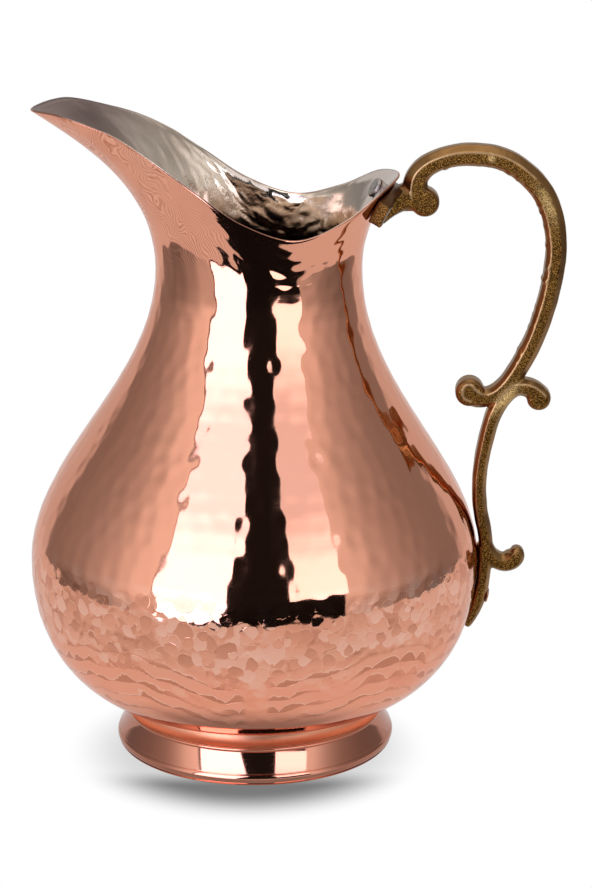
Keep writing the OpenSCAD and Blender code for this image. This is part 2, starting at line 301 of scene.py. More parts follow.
# %% [markdown]
# ## Table
# The jug stands on a white table that ends 0.34 m in front of it. In the copper the table's front
# edge shows as the line where the bright lower belly begins. The table gives plain white to the
# camera and a pale grey to the metal, and a painted shadow darkens it where the foot and the belly
# come close to it, from an Ambient Occlusion node that looks 55 mm round each point. A real lamp's
# shadow would need a lamp that the copper mirrors too. A mask on the table's position makes the
# painted shadow strongest in front, and it ends about two fingers' breadth from the foot.

# %% Table
table_wide, table_long, table_middle = 0.86, 1.64, 0.48
shade_reach, shade_middle = 0.055, (-0.0025, -0.016, 0)
grey_for_metal, shade_for_metal, shade_for_camera = 0.74, 0.45, 0.80
table_mesh = bmesh.new()
bmesh.ops.create_grid(table_mesh, x_segments=8, y_segments=12, size=0.5)
bmesh.ops.scale(table_mesh, vec=(table_wide, table_long, 1), verts=table_mesh.verts)
bmesh.ops.translate(table_mesh, vec=(0, table_middle, 0), verts=table_mesh.verts)

cloth_white, tree, plain = glowing("table_white")
cloth_white.cycles.emission_sampling = "NONE"
closeness = put(tree, "ShaderNodeAmbientOcclusion", samples=24)
closeness.inputs["Distance"].default_value = shade_reach
spot = place(tree)
y = spot.split()[1]
away = spot.vector("DISTANCE", shade_middle, out="Value")
# painted shadow: a mask on the table's position makes the shade strongest in front
front = (ease(y, -0.036, -0.052) * 0.60 + 0.40) * ease(away, 0.069, 0.041)
dark = ease(Wire(closeness.outputs["AO"]), 0.95, 0.45) * front
seen = Wire(put(tree, "ShaderNodeLightPath").outputs["Is Camera Ray"])
mirrored, shaded = grey_for_metal - dark * shade_for_metal, 1.0 - dark * shade_for_camera
feed(plain.inputs["Strength"], blend(seen, mirrored, shaded))
table = mesh_object(table_mesh, "table", cloth_white)
table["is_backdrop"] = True
print("table", [round(v, 3) for v in table.dimensions])

# %% [markdown]
# ## The curves of the body
# The body isn't quite a turned shape: its neck leans a little and its rim rises to a spout. It
# can be drawn with three curves. Two of them, for the lower and the upper belly, give a radius
# and a height. The third runs from the neck to the rim, and differs at every angle. `skin` joins
# them: an angle and a number from 0 (bottom) over 1 (widest), 2 (neck) to 3 (rim) give a point.
# Numbers below 0 run over the flat bottom to its middle. The rim itself is given every 20 degrees,
# from the handle to the spout, and mirrored.

# %% Body curves
SEAT, WIDEST, NECK = (40, 18), (82.5, 71), (37.4, 181)
LOW = np.array([SEAT, (58.6, SEAT[1]), (WIDEST[0], 33.3), WIDEST])
UP = np.array([WIDEST, (WIDEST[0], 106.3), (NECK[0], 136.7), NECK])
RIM = np.array([
    (52.5, 0, 214.8), (46.2, 18.05, 212.3), (32.55, 29.95, 204.3), (15.2, 36.9, 199.4),
    (-3, 38.4, 205.4), (-19.2, 37.8, 216.2), (-35.3, 33.6, 226.7), (-50.6, 24.3, 234.4),
    (-68, 16.6, 239.2), (-79, 0, 238.4),
])


def soft_step(t):
    t = np.clip(t, 0, 1)
    return t * t * (3 - 2 * t)


def pulled(p0, p1, p2, p3, t):
    t = np.asarray(t, float)[..., None]
    u = 1 - t
    return u**3 * p0 + 3 * u * u * t * p1 + 3 * u * t * t * p2 + t**3 * p3


def through(a, b, c, d, u):
    u = np.asarray(u, float)[..., None]
    return b + 0.5 * u * (c - a + u * (2 * a - 5 * b + 4 * c - d + u * (3 * (b - c) + d - a)))


RIM_STEP = 20


def rim(angle):
    flip = np.array([1, -1, 1])
    ring = np.vstack([RIM[1] * flip, RIM, RIM[8] * flip])
    turned = (angle + 180) % 360 - 180
    x = np.clip(np.abs(turned) / RIM_STEP, 0, 8.999999)
    i = x.astype(int)
    point = through(ring[i], ring[i + 1], ring[i + 2], ring[i + 3], x - i)
    point[:, 1] *= np.where(turned < 0, -1, 1)
    return point


print("rim from", RIM[0], "to", RIM[-1])

# %% [markdown]
# On the real jug the sheet flares from the neck in one sweep, steep at the sides and long towards
# the spout. A loft between two rings would bulge there. So each angle has its own curve, which
# starts upright at the neck and arrives at the rim from below, and only the pulls at its two ends
# change from angle to angle. `outward` is the direction in which the sheet's thickness is laid.

# %% Skin of the body
LEAN, LEAN_FROM, LEAN_OVER = 2, 105.1, 79.86
RIM_PULL = 0.31


def ring_point(radius, height, angle):
    lean = LEAN * soft_step((height - LEAN_FROM) / LEAN_OVER)
    turn = np.radians(angle)
    return np.stack([lean + radius * np.cos(turn), radius * np.sin(turn), height], axis=-1)


def skin(angle, s):
    angle, s = np.broadcast_arrays(np.asarray(angle, float), np.asarray(s, float))
    low = pulled(*LOW, np.clip(s, 0, 1))
    up = pulled(*UP, np.clip(s - 1, 0, 1))
    radius = np.where(s < 1, low[:, 0], up[:, 0])
    height = np.where(s < 1, low[:, 1], up[:, 1])
    radius = np.where(s < 0, SEAT[0] * np.clip(1 + s, 0, 1), radius)
    ring = ring_point(radius, height, angle)
    start = ring_point(np.full_like(s, NECK[0]), np.full_like(s, NECK[1]), angle)
    end = rim(angle)
    way = end - start
    reach = np.linalg.norm(way, axis=1, keepdims=True)
    turned = np.abs((angle + 180) % 360 - 180)
    # the pull at the neck is shortest at the sides, 70 to 80 degrees from the handle
    straight = 0.40 + 0.16 * soft_step((turned - 15) / 25) - 0.44 * soft_step((turned - 52) / 18)
    straight = straight + 0.30 * soft_step((turned - 80) / 32)
    rise = np.array([[0, 0, 1]]) * reach * straight[:, None]
    # the sheet reaches the rim flatter over the handle and towards the spout than at the sides
    curl = 2 - soft_step((turned - 28) / 24) + soft_step((turned - 88) / 24)
    curl = curl - 0.3 * soft_step((turned - 48) / 12) * (1 - soft_step((turned - 66) / 16))
    lead = way * np.stack([curl, curl, np.ones_like(curl)], axis=1)
    lead = lead / np.linalg.norm(lead, axis=1, keepdims=True) * reach * RIM_PULL
    flare = pulled(start, start + rise, end - lead, end, np.clip(s - 2, 0, 1))
    return np.where((s > 2)[:, None], flare, ring)


def outward(angle, s):
    angle, s = np.broadcast_arrays(np.asarray(angle, float), np.asarray(s, float))
    s0, s1 = np.clip(s, 0, 3) - 0.003, np.clip(s, 0, 3) + 0.003
    across = skin(angle + 0.4, s) - skin(angle - 0.4, s)
    along = skin(angle, np.minimum(s1, 3)) - skin(angle, np.maximum(s0, 0))
    normal = np.cross(across, along)
    return normal / np.maximum(np.linalg.norm(normal, axis=1, keepdims=True), 1e-9)


print("widest point", skin([0], [1.0])[0].round(1))

# %% [markdown]
# ## Hammer marks
# A raised vessel is planished: the smith goes round it row by row, and every blow leaves a shallow
# round mark. A bump texture could draw the marks, but then the outline and the mesh would stay
# smooth. So the mesh itself is hammered, blow by blow, on a map with one height per point.
# First the map's rows are laid out along the side of the body, closer where the marks are sharper.

# %% Rows of the map
FLARE_LENGTH, FLARE_RISE, FLARE_RADIUS = 34, 30, 38.0


def meridian():
    s = np.linspace(0, 2, 2001)
    line = np.where((s < 1)[:, None], pulled(*LOW, np.clip(s, 0, 1)), pulled(*UP, np.clip(s - 1, 0, 1)))
    steps = np.linalg.norm(np.diff(line, axis=0), axis=1)
    return s, line, np.concatenate([[0], np.cumsum(steps)])


def lay_rows(step_at, flare_rows):
    s, line, length = meridian()
    marks = [0.0]
    while marks[-1] < length[-1]:
        marks.append(marks[-1] + step_at(np.interp(marks[-1], length, line[:, 1])))
    marks = np.array(marks) * length[-1] / marks[-1]
    flare = np.linspace(0, 1, flare_rows + 1)[1:]
    return {
        "s": np.concatenate([np.interp(marks, length, s), 2 + flare]),
        "length": np.concatenate([marks, length[-1] + FLARE_LENGTH * flare]),
        "radius": np.concatenate([np.interp(marks, length, line[:, 0]), np.full(flare_rows, FLARE_RADIUS)]),
        "z": np.concatenate([np.interp(marks, length, line[:, 1]), NECK[1] + FLARE_RISE * flare]),
    }


print("side of the body", round(meridian()[2][-1], 1), "mm long")

# %% [markdown]
# A blow is a dish with a centre, a size and a lean. A soft blow fades to nothing at its edge and
# adds to what is there. A hard blow wipes out older marks inside its circle and leaves a clear
# edge, so circles overlap like scales. Each hard blow also burnishes its circle to its own tone.
# `hard` is the width of that edge, and 0 makes a soft blow.

# %% One blow
def strike(sheet_map, length, angle, size, depth, lean, hard, tone_and_painted_light=0.5):
    rows = np.flatnonzero(np.abs(sheet_map["length"] - length) < size)
    if not len(rows):
        return
    columns = sheet_map["height"].shape[1]
    radius = sheet_map["radius"][rows].mean()
    middle, reach = round(angle / 360 * columns), int(size / (2 * math.pi * radius) * columns) + 1
    near = np.arange(middle - reach, middle + reach + 1)
    across = (np.radians(near * 360 / columns - angle) * radius / size)[None, :]
    up = ((sheet_map["length"][rows] - length) / size)[:, None]
    away = np.hypot(across, up)
    spot = np.ix_(rows, near % columns)
    tilt = lean[0] * across + lean[1] * up
    if not hard:
        sheet_map["height"][spot] -= depth * np.clip(1 - away**2, 0, 1) ** 2 * (1 + tilt)
        return
    inside = soft_step((1 - away) * size / hard)
    dish = -depth * (1 - 0.6 * away**2 + tilt)
    sheet_map["height"][spot] += inside * (dish - sheet_map["height"][spot])
    sheet_map["tone_and_painted_light"][spot] += inside * (tone_and_painted_light - sheet_map["tone_and_painted_light"][spot])


def blank_map(rows, columns):
    shape = (len(rows["s"]), columns)
    return {**rows, "height": np.zeros(shape), "tone_and_painted_light": np.full(shape, 0.5)}


print("hammer ready")

# %% [markdown]
# ## From a flat sheet to the body
# A spin would do for a plain turned wall, but it is slow for a mesh this fine. A smith starts from
# a flat sheet, and so does this: `create_grid` makes a sheet with one row per mesh row and one
# column per step round the jug. A point's place in the sheet says which row and column it is, and
# it is carried to its real place. The two side edges then meet, and merging them closes the seam.

# %% Sheet that becomes a shell
def flat_sheet(row_count, columns):
    sheet = bmesh.new()
    bmesh.ops.create_grid(sheet, x_segments=columns, y_segments=row_count - 1, size=1)
    where = np.array([v.co for v in sheet.verts])
    row = np.rint((where[:, 1] + 1) / 2 * (row_count - 1)).astype(int)
    column = np.rint((where[:, 0] + 1) / 2 * columns).astype(int)
    return sheet, row, column


def carry(sheet, row, column, rows, columns):
    places = np.stack(rows) * MM
    for v, r, c in zip(sheet.verts, row, column % columns):
        v.co = places[r, c]


def finish_mesh(shape, name, material):
    bmesh.ops.remove_doubles(shape, verts=shape.verts, dist=1e-6)
    bmesh.ops.recalc_face_normals(shape, faces=shape.faces)
    for face in shape.faces:
        face.smooth = True
    piece = mesh_object(shape, name, material)
    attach(piece, "root")
    print(name, len(piece.data.vertices), "points", len(piece.data.polygons), "faces")
    return piece


print("sheet helpers ready")

# %% [markdown]
# ## Finishes
# An effect that returns is a node group, built once and placed with its own values: fine lines from
# the polishing wheel on both coppers, cloudy patches where a metal has dulled, and edges worn
# brighter than the hollows. A group only hands out numbers. The shader stays in each material.

# %% Polishing lines
def new_group(name, inputs, outputs):
    group = bpy.data.node_groups.new(name, "ShaderNodeTree")
    for label, value in inputs.items():
        socket = group.interface.new_socket(label, in_out="INPUT", socket_type="NodeSocketFloat")
        socket.default_value = value
    for label in outputs:
        group.interface.new_socket(label, in_out="OUTPUT", socket_type="NodeSocketFloat")
    given = put(group, "NodeGroupInput")
    print("group", name)
    return group, put(group, "NodeGroupOutput"), *(Wire(given.outputs[label]) for label in inputs)


lines_group, handed, lines, drift = new_group("polishing_lines", {"Lines": 900.0, "Drift": 7.0}, ["Height"])
stretch = put(lines_group, "ShaderNodeCombineXYZ")
feed_all(stretch, {"X": drift, "Y": drift, "Z": lines})
scaled = place(lines_group).vector("MULTIPLY", Wire(stretch.outputs[0]))
feed(handed.inputs["Height"], cloud(scaled, 1.0, 3.0))

# %% Dull patches
patch_group, handed, size, low, high = new_group(
    "dull_patches", {"Size": 30.0, "From": 0.4, "To": 0.7}, ["Amount"]
)
feed(handed.inputs["Amount"], ease(cloud(place(patch_group), size, 5.0, 0.6), low, high, "LINEAR"))

# %% Worn edges
wear_group, handed, low, high = new_group("worn_edges", {"From": 0.5, "To": 0.56}, ["Amount"])
bend = Wire(put(wear_group, "ShaderNodeNewGeometry").outputs["Pointiness"])
feed(handed.inputs["Amount"], ease(bend, low, high, "LINEAR"))

# %% [markdown]
# Two more effects draw what is finer than the mesh on the copper. Hammer discs are cells of a
# Voronoi texture that are cut round: inside a disc there is a dish, a tone of its own, painted shade
# that darkens its upper half and lightens its lower half, a thin painted highlight on its upper edge
# and a painted shade groove on its lower edge. A noise first pushes the place a little, so that no
# disc is a perfect circle. Combed lines are what the last strokes of the polishing mop leave on the
# flare: a sine wave across a slanting direction, bent by a noise.

# %% Hammer discs
discs_group, handed, size, radius, shift = new_group(
    "hammer_discs", {"Size": 130.0, "Radius": 0.45, "Shift": 0.0}, ["Inside", "Dish", "Tone_with_painted_light"]
)
moved = place(discs_group).vector("ADD", shift)
pushed = cloud(moved, 170.0, out="Color").vector("MULTIPLY_ADD", (0.004, 0.004, 0.004), moved)
cells = put(discs_group, "ShaderNodeTexVoronoi")
feed_all(cells, {"Vector": pushed, "Scale": size})
part = Wire(cells.outputs["Distance"]) / radius
dish = part * part
up = pushed.vector("SUBTRACT", Wire(cells.outputs["Position"])).split()[2] * (size / radius)
own, shine, _ = Wire(cells.outputs["Color"]).split("ShaderNodeSeparateColor")
# edge is a painted highlight on the disc's upper rim, the groove a painted shade on its lower rim, and the
# crescent painted shade over the upper half
edge = ease(part, 0.89, 0.96) * ease(up, 0.0, 0.6)
painted_groove_shade = ease(part, 0.88, 0.96) * ease(up, -0.1, -0.6)
painted_crescent_shade = up * dish * 0.3
tone_and_painted_light = own * 0.62 + 0.24 - painted_crescent_shade
tone_and_painted_light = tone_and_painted_light.math("ADD", (edge - painted_groove_shade * 0.5) * (shine + 0.25), clamp=True)
feed_all(handed, {"Inside": ease(part, 1.0, 0.93), "Dish": dish, "Tone_with_painted_light": tone_and_painted_light})

# %% Combed lines
comb_group, handed, gap, bend = new_group("combed_lines", {"Gap": 0.0008, "Bend": 0.004}, ["Height"])
spot = place(comb_group)
x, _, z = spot.split()
bent = x * 1.4 + z + cloud(spot, 62.0, 2.5) * bend
wave = (bent / gap * 3.65).math("SINE")
feed(handed.inputs["Height"], wave * 0.5 + 0.5)

# %% [markdown]
# Every metal starts the same way, as a Principled shader that is all metal. `use` places one of
# the groups with its own values, `kept` reads a number that the mesh keeps on each point, and
# `bump` turns a height into tilted normals.

# %% Metal helper
def metal(name):
    material = bpy.data.materials.new(name)
    material.use_nodes = True
    shader = material.node_tree.nodes["Principled BSDF"]
    shader.inputs["Metallic"].default_value = 1.0
    print("metal", name)
    return material, material.node_tree, shader


def use(tree, group, **values):
    made = put(tree, "ShaderNodeGroup", node_tree=group)
    feed_all(made, values)
    wires = [Wire(socket) for socket in made.outputs]
    return wires if len(wires) > 1 else wires[0]


def kept(tree, name):
    return Wire(put(tree, "ShaderNodeAttribute", attribute_name=name).outputs["Fac"])


def bump(shader, height, strength, distance):
    made = put(height.tree, "ShaderNodeBump")
    feed_all(made, {"Strength": strength, "Distance": distance, "Height": height})
    feed(shader.inputs["Normal"], Wire(made.outputs[0]))


print("metal helpers ready")

# %% [markdown]
# Copper is polished to a mirror, so it is very smooth, with faint lines round the body and a few
# dull clouds. Its colour is the salmon that it shows where it mirrors the white table. Round the
# widest place three sizes of hammer discs lie over one another, as later blows hide earlier ones.

# %% Copper
COPPER_WARM = (0.86, 0.345, 0.215, 1)
copper, tree, shader = metal("polished_copper")
x, y, z = place(tree).split()
tone_and_painted_light, stepped = kept(tree, "tone_and_painted_light"), kept(tree, "stepped")
low_belly = ease(z, 0.044, 0.054) * ease(z, 0.085, 0.075) * (1.0 - stepped)
level = 1.0
for size, radius, shift in ((118.0, 0.52, 0.10), (135.0, 0.48, 0.37), (160.0, 0.44, 0.81)):
    inside, dish, own = use(tree, discs_group, Size=size, Radius=radius, Shift=shift)
    # own is the disc's tone with its painted highlight and painted shade
    here = inside * low_belly
    tone_and_painted_light = blend(here, tone_and_painted_light, own)
    level = blend(here, level, dish)
print(copper.name, "has discs")

# %% [markdown]
# Under the discs the blows ran together into long steps. The mesh keeps a number that grows by one
# from step to step. What is left after the whole number says where on its step a point is: a thin
# pale line of painted highlight at the bottom, a row of round hollows that stand on it, painted dark
# as painted shade with painted highlights on their lips, then plain copper.

# %% Steps in the copper
terrace = kept(tree, "terrace")
on_step = terrace.math("FRACT")
round_body = x.math("ARCTAN2", y * -1.0)
wander = (round_body * 7.0).math("SINE") * 1.6
scallop = round_body * 23.0 + terrace.math("FLOOR") * 1.9 + wander
scallop = scallop.math("SINE").math("ABSOLUTE").math("POWER", 0.7)
patchy = use(tree, patch_group, Size=45.0, From=0.36, To=0.58)
under = scallop * patchy * 0.62 + 0.06 - on_step
# painted shade in the hollows, painted highlight on their lips and on the line at the bottom of each step
hollow = ease(under, -0.02, 0.03)
lip = ease(under, -0.11, -0.03) * ease(under, 0.02, -0.02)
base_line = ease(on_step, 0.05, 0.0)
step_painted_light = 0.56 - hollow * 0.46 + lip * 0.40
step_painted_light = step_painted_light.math("ADD", base_line * 0.7, clamp=True)
tone_and_painted_light = blend(stepped, tone_and_painted_light, step_painted_light)
level = blend(stepped, level, 1.0 - hollow * 0.7)
print(copper.name, "has steps")

# %% [markdown]
# The tone picks the colour: brown where painted shade darkens the hollows, salmon on plain metal,
# pale where painted highlight lights the lips. Near the foot the copper is painted warmer, as a
# painted reflection of the copper of the foot. The rim's edge is brown.

# %% Colour of the copper
def three_tones(tone_and_painted_light, dark, plain, pale):
    lower = blend_colour(tone_and_painted_light.math("MULTIPLY", 2.0, clamp=True), dark, plain)
    return blend_colour((tone_and_painted_light * 2.0).math("SUBTRACT", 1.0, clamp=True), lower, pale)


high = three_tones(tone_and_painted_light, (0.50, 0.19, 0.12, 1), (0.88, 0.395, 0.262, 1), (1.0, 0.60, 0.47, 1))
low = three_tones(tone_and_painted_light, (0.54, 0.195, 0.115, 1), (0.97, 0.385, 0.245, 1), (1.0, 0.58, 0.44, 1))
# painted reflection: lower down the copper is painted warmer, as if mirroring the copper foot
burnished = blend_colour(ease(z, 0.062, 0.046), high, low)
dull = use(tree, patch_group, Size=22.0, From=0.42, To=0.75)
burnished = blend_colour(dull * 0.35, burnished, COPPER_WARM)
flare = ease(z, 0.184, 0.196) * ease(x, 0.030, 0.005)
flare = flare * use(tree, patch_group, Size=55.0, From=0.30, To=0.60)
combed = use(tree, comb_group, Gap=0.00095, Bend=0.030) * flare
burnished = blend_colour(flare * 0.8, burnished, (1.0, 0.475, 0.33, 1))
burnished = blend_colour(combed, burnished, (0.62, 0.235, 0.145, 1))
burnished = blend_colour(kept(tree, "edge") * 0.75, burnished, (0.36, 0.16, 0.10, 1))
lines = use(tree, lines_group, Lines=1100.0, Drift=9.0)
feed_all(shader, {"Base Color": burnished, "Roughness": lines * 0.05 + 0.035})
shader.inputs["Specular Tint"].default_value = (0.955, 0.83, 0.78, 1)
bump(shader, lines * 0.005 + level * 0.05 + combed * 0.0025, 1.0, 0.001)
print(copper.name, "has its colours")

# %% [markdown]
# The foot was spun on a lathe from the same copper. Its lines are finer and it has no hammer
# marks, so only the polishing lines change. The wheel can't reach the hollow under the body, so
# that is rougher. At its sides, left and right of the way it is poured, the band is painted darker
# as a painted reflection of the grey side walls, and the hollow is painted paler as painted light.

# %% Spun copper
spun, tree, shader = metal("spun_copper")
dull = use(tree, patch_group, Size=40.0, From=0.45, To=0.8)
lines = use(tree, lines_group, Lines=2600.0, Drift=4.0)
x, _, z = place(tree).split()
hollow = ease(z, 0.0122, 0.0138)
# painted reflection and painted light: darker band and paler hollow towards the left and right sides
flank_painted_shade_and_light = ease(x.math("ABSOLUTE"), 0.019, 0.034)
band = blend_colour(flank_painted_shade_and_light, (0.86, 0.38, 0.262, 1), (0.52, 0.205, 0.135, 1))
cove = blend_colour(dull, (0.90, 0.43, 0.26, 1), (0.84, 0.37, 0.21, 1))
cove = blend_colour(flank_painted_shade_and_light, cove, (1.0, 0.56, 0.37, 1))
gloss = lines * 0.06 + 0.03 + hollow * 0.34
feed_all(shader, {"Base Color": blend_colour(hollow, band, cove), "Roughness": gloss})
bump(shader, lines, 0.10, 0.00003)

# %% [markdown]
# Tin is wiped on hot, so it is greyer, softer and streaky, with a warm tint where the copper
# glows through. Deep inside the body it is painted dark as painted shade, and the spout's tip is
# painted darker as a painted reflection of a dark wall.

# %% Tin
tin, tree, shader = metal("wiped_tin")
dull = use(tree, patch_group, Size=60.0, From=0.35, To=0.7)
x, _, z = place(tree).split()
deep_painted_shade = ease(z, 0.197, 0.178)
in_spout, tip_painted_dark = ease(x, -0.016, -0.042), ease(x, -0.030, -0.060)
on_lip = ease(x, 0.030, 0.044)
wiped = blend_colour(dull, (0.95, 0.80, 0.66, 1), (0.76, 0.60, 0.48, 1))
# painted shade deep inside and a painted dark reflection at the spout's tip
wiped = blend_colour(deep_painted_shade, wiped, (0.13, 0.10, 0.08, 1))
wiped = blend_colour(tip_painted_dark, wiped, (0.31, 0.225, 0.20, 1))
wiped = blend_colour(on_lip, wiped, (0.70, 0.59, 0.53, 1))
feed_all(shader, {"Base Color": wiped, "Roughness": dull * 0.10 + 0.09 + in_spout * 0.22})
smear = use(tree, patch_group, Size=260.0, From=0.3, To=0.7)
bump(shader, smear, 0.25, 0.0002)

# %% [markdown]
# Solder is dull and grey. It is hardly seen, in the corner between the body and the foot, so a
# cloudy grey with a rough skin is enough.

# %% Solder
def cloudy_metal(name, size, high, clean, dirty, roughness, dents):
    material, tree, shader = metal(name)
    dull = use(tree, patch_group, Size=size, From=0.35, To=high)
    feed_all(shader, {"Base Color": blend_colour(dull, clean, dirty), "Roughness": roughness})
    bump(shader, dull, dents, 0.0002)
    return material


solder = cloudy_metal(
    "soft_solder", size=180.0, high=0.65, clean=(0.62, 0.58, 0.53, 1), dirty=(0.42, 0.36, 0.30, 1),
    roughness=0.42, dents=0.3,
)

# %% [markdown]
# The brass handle is left as it came from the sand: dark olive, with gold grains that catch the
# light. Its spine and edges are filed and handled, so they are smoother and paler. Worn edges
# come from the mesh's own bends. Where hands rub the sides most, the brass is gold: worn metal and
# a painted golden highlight. The raised lines are painted pale as a painted highlight.

# %% Cast brass
brass, tree, shader = metal("cast_brass")
spot = place(tree)
x = spot.split()[0]
grains = cloud(spot, 2400.0, 2.0)
sandy, line, rubbed_and_painted_highlight = kept(tree, "sandy"), kept(tree, "line"), kept(tree, "rubbed_and_painted_highlight")
dull = use(tree, patch_group, Size=110.0, From=0.35, To=0.7)
filed = blend_colour(dull, (0.32, 0.168, 0.060, 1), (0.20, 0.096, 0.032, 1))
dark_sand = blend_colour(dull, (0.085, 0.037, 0.008, 1), (0.048, 0.021, 0.004, 1))
sand = blend_colour(ease(grains, 0.47, 0.62), dark_sand, (0.39, 0.192, 0.043, 1))
crust = blend_colour(sandy, filed, sand)
worn = use(tree, wear_group, From=0.52, To=0.60)
crust = blend_colour(worn * 0.3, crust, (0.50, 0.29, 0.12, 1))
on_pad = ease(x, 0.057, 0.051) * (1.0 - sandy)
crust = blend_colour(on_pad * 0.75, crust, (0.085, 0.038, 0.016, 1))
# worn gold and painted golden highlight where the sides are rubbed
crust = blend_colour(rubbed_and_painted_highlight * ease(grains, 0.30, 0.55), crust, (0.98, 0.66, 0.27, 1))
# painted highlight: the raised line is coloured pale
crust = blend_colour(line, crust, (0.66, 0.42, 0.21, 1))
feed_all(shader, {"Base Color": crust, "Roughness": sandy * 0.14 + 0.32})
bump(shader, grains * sandy, 0.45, 0.0003)

# %% [markdown]
# The rivets are soft metal with a hammered face. The two at the lip were tinned with the inside and
# are grey. The one in the tail is bare copper that has gone brown.

# %% Rivet metal
rivet_grey = cloudy_metal(
    "tinned_rivet", size=420.0, high=0.65, clean=(0.52, 0.47, 0.43, 1), dirty=(0.30, 0.26, 0.235, 1),
    roughness=0.38, dents=0.35,
)
rivet_red = cloudy_metal(
    "copper_rivet", size=300.0, high=0.7, clean=(0.55, 0.25, 0.14, 1), dirty=(0.34, 0.16, 0.08, 1),
    roughness=0.34, dents=0.3,
)

# %% [markdown]
# ## Copper body
# On the upper body the planishing was fine: soft marks 6 to 7 mm wide, and each row starts where
# it likes. Round the widest place the marks are clear round discs. Below, they were struck so close
# that each row ends in a scalloped step. The last centimetre above the foot is plain, and the
# marks fade towards the spout.

# %% Soft marks of the upper body
BODY_COLUMNS = 480
SOFT_DEPTH, SOFT_SIZE, ROW_STEP = 0.14, 0.70, 1.08
body_angle = np.arange(BODY_COLUMNS) * 360 / BODY_COLUMNS
body_map = blank_map(lay_rows(lambda z: 1.0 if z < 82 else 1.75, 21), BODY_COLUMNS)
dice = np.random.default_rng(11)
blows = 0
at = float(np.interp(70, body_map["z"], body_map["length"]))
while at < body_map["length"][-1]:
    z = np.interp(at, body_map["length"], body_map["z"])
    radius = np.interp(at, body_map["length"], body_map["radius"])
    wide = 7.2 - 1.0 * soft_step((z - 80) / 80)
    count = round(2 * math.pi * radius / wide)
    start = dice.uniform(0, 1)
    for k in range(count):
        angle = (k + start + dice.uniform(-0.14, 0.14)) / count * 360
        spout = soft_step((abs((angle + 180) % 360 - 180) - 95) / 50) * soft_step((z - 185) / 26)
        depth = SOFT_DEPTH * dice.uniform(0.45, 1.5) * (1 - 0.8 * spout)
        depth *= 1 - soft_step((z - 196) / 12) * 0.6
        strike(
            body_map, at + dice.uniform(-0.8, 0.8), angle, SOFT_SIZE * wide, depth,
            dice.normal(0, 0.5, 2), 0,
        )
        blows += 1
    at += ROW_STEP * wide
print(blows, "soft blows")

# %% Discs and steps below the widest place
HARD_ROWS = [  # height, distance between blows, size, depth, width of the soft edge
    (27, 6.0, 4.4, 0.03, 1.6), (32, 4.6, 4.6, 0.04, 1.2), (36.5, 4.6, 4.6, 0.05, 1.0),
    (42, 4.8, 4.6, 0.06, 1.0), (47.5, 4.8, 4.4, 0.08, 0.9), (53, 5.2, 4.2, 0.12, 0.9),
    (58, 5.6, 3.9, 0.14, 0.9), (63, 5.6, 3.7, 0.14, 0.9), (68, 5.6, 3.6, 0.13, 0.9),
    (73, 6.0, 3.5, 0.12, 0.9), (77.5, 7.0, 3.3, 0.09, 0.9),
]
blows = 0
for z, wide, size, depth, soft in HARD_ROWS:
    length = float(np.interp(z, body_map["z"], body_map["length"]))
    radius = np.interp(z, body_map["z"], body_map["radius"])
    count = round(2 * math.pi * radius / wide)
    order = dice.permutation(count) if z > 50 else range(count)
    places = np.arange(count) * 360 / count
    wander = sum(np.sin(np.radians(places * k) + dice.uniform(0, 6.28)) for k in (4, 9, 14))
    for k in order:
        angle = (k + dice.uniform(-0.3, 0.3)) / count * 360
        tone_and_painted_light = 0.5 + dice.uniform(-0.32, 0.32) * soft_step((z - 38) / 14)
        at = length + 0.5 * wander[k] + dice.uniform(-0.9, 0.9)
        strike(
            body_map, at, angle, size * dice.uniform(0.75, 1.2), depth * dice.uniform(0.5, 1.4),
            dice.normal(0, 0.55, 2), soft, tone_and_painted_light,
        )
        blows += 1
print(blows, "hard blows")

# %% [markdown]
# The steps hang like garlands between five places round the body, with a plain gap in the middle
# of each garland. Every step is cut 0.16 mm deep under its lip and runs out to nothing below.

# %% Long steps above the foot
GARLAND, STEP_HEIGHT, STEP_DEPTH = 9, 6.0, 0.16
front = (body_angle + 270) % 360 - 180
turn = np.radians(front)[None, :]
height = body_map["z"][:, None]
sag = GARLAND * np.sin(2.5 * turn) ** 2
for amount, times, start in ((0.8, 11, 0.4), (0.55, 23, 2), (0.35, 41, 4.4)):
    sag = sag + amount * np.sin(times * turn + start)
terrace = (height - sag) / STEP_HEIGHT + 10
step = np.floor(terrace)
shown = soft_step(0.80 + 0.5 * np.sin(7 * turn + 2.4 * step) + 0.4 * np.sin(12 * turn + 5.1 * step + 1))
shown = shown * soft_step((np.abs((front + 36) % 72 - 37.0) - 2.4) / 1.6)[None, :]
shown = shown * soft_step((height - 28) / 6) * (1 - soft_step((height - sag * 0.5 - 50) / 6))
body_map["terrace"], body_map["stepped"] = terrace, shown
body_map["height"] -= STEP_DEPTH * shown * (terrace - step) ** 1.5
print("steps", int(terrace.max() - terrace.min()))

# %% [markdown]
# The small steps between marks catch the light, and that is painted into the tone: what looks up a
# little is painted paler and what looks down is painted darker, from the map's slope. Then the map is
# laid on the skin.

# %% Hammered outside
def ring_at(angles, s, offset):
    s = np.full(len(angles), float(s))
    if s[0] < 0:
        return skin(angles, s) - np.array([0, 0, 1]) * offset
    return skin(angles, s) + outward(angles, s) * offset


# painted light and shade: the tone is made paler where the surface looks up and darker where it looks down
slope = np.gradient(body_map["height"], axis=0) / np.gradient(body_map["length"])[:, None]
body_map["tone_and_painted_light"] = np.clip(body_map["tone_and_painted_light"] - 3.0 * slope * (body_map["z"] < 84)[:, None], 0, 1)
outside = [ring_at(body_angle, s, h[:, None]) for s, h in zip(body_map["s"], body_map["height"])]
print(len(outside), "rows outside")

